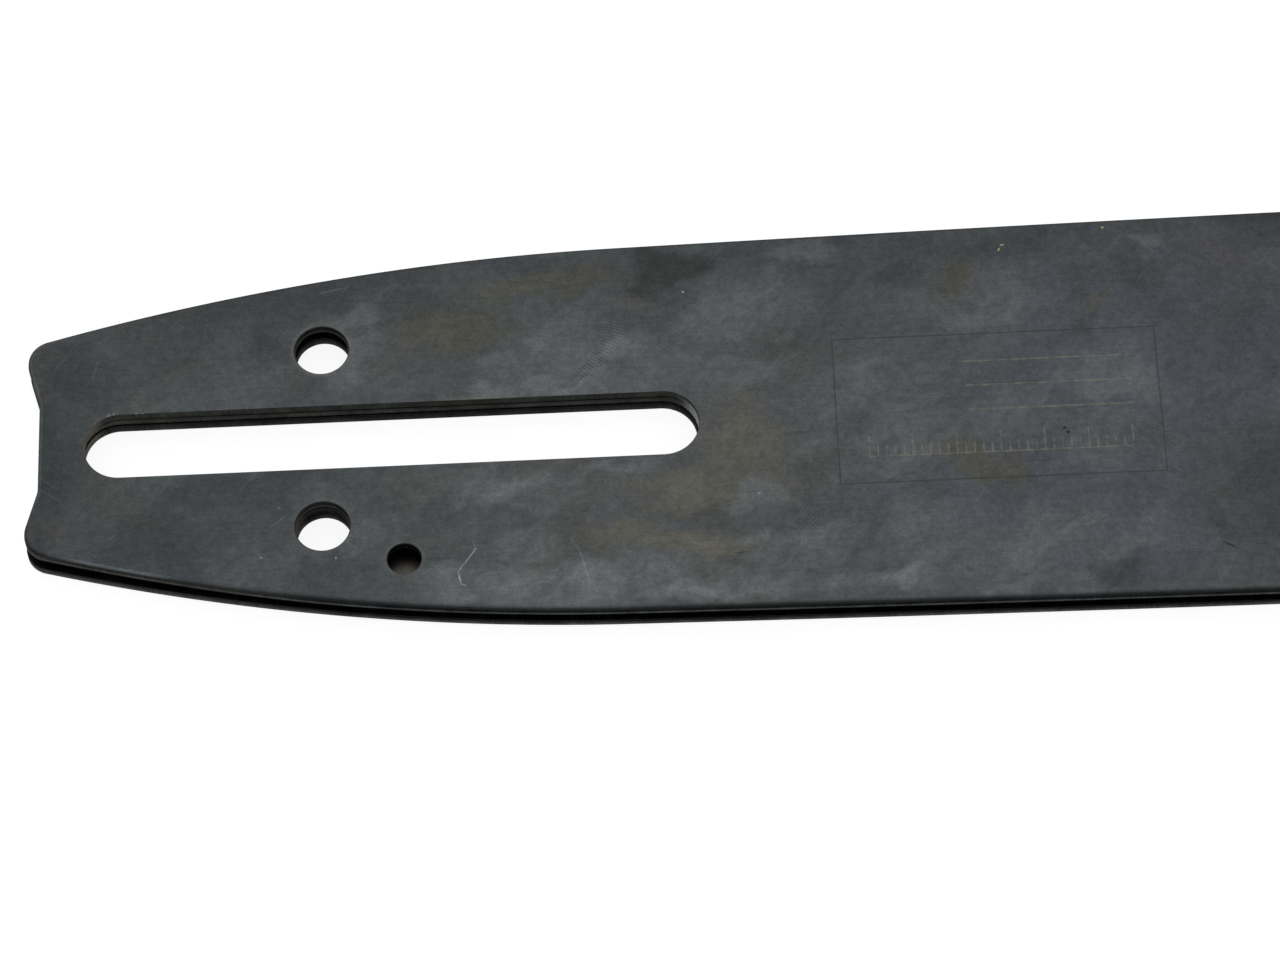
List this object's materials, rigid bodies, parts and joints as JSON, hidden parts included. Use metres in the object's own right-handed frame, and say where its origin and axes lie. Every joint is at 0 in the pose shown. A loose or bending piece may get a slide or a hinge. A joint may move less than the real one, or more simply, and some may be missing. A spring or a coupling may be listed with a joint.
{
  "type": "chainsaw guide bar",
  "caption": "Long flat laminated saw guide bar with a slotted tail, chain adjuster and oil holes, a chain groove round its edge and a toothed sprocket turning in its rounded nose.",
  "frame": {"origin": "middle of the stud slot, on the rear face of the bar", "axes": "+X along the bar from tail to nose, +Y across the bar, +Z out of the front face"},
  "size_m": [0.409, 0.0502, 0.0039],
  "materials": {
    "blued_steel": "blued satin with brush marks and brownish mottling",
    "core_steel": "blued, unpolished",
    "hardened_steel": "dark hardened steel, satin",
    "bearing_steel": "ground bright",
    "rivet_steel": "closed flush and ground"
  },
  "bodies": {
    "bar": {"front_side_plate": "blued_steel", "core_plate": "core_steel", "rear_side_plate": "blued_steel", "inner_race": "bearing_steel", "nose_rivets": "rivet_steel"},
    "sprocket": {"nose_sprocket": "hardened_steel"},
    "roller_ring": {"roller_01": "bearing_steel", "roller_02": "bearing_steel", "roller_03": "bearing_steel", "roller_04": "bearing_steel", "roller_05": "bearing_steel", "roller_06": "bearing_steel", "roller_07": "bearing_steel", "roller_08": "bearing_steel", "roller_09": "bearing_steel", "roller_10": "bearing_steel", "roller_11": "bearing_steel", "roller_12": "bearing_steel", "roller_13": "bearing_steel", "roller_14": "bearing_steel", "roller_15": "bearing_steel", "roller_16": "bearing_steel", "roller_17": "bearing_steel", "roller_18": "bearing_steel"}
  },
  "joints": [
    {"name": "sprocket_spin", "type": "hinge", "parent": "bar", "child": "sprocket", "pos_m": [0.34345, 0, 0.00195], "axis": [0, 0, 1], "continuous": true},
    {"name": "roller_ring_spin", "type": "hinge", "parent": "bar", "child": "roller_ring", "pos_m": [0.34345, 0, 0.00195], "axis": [0, 0, 1], "continuous": true}
  ],
  "couplings": [
    {"joint": "roller_ring_spin", "follows": "sprocket_spin", "ratio": 0.58621}
  ]
}
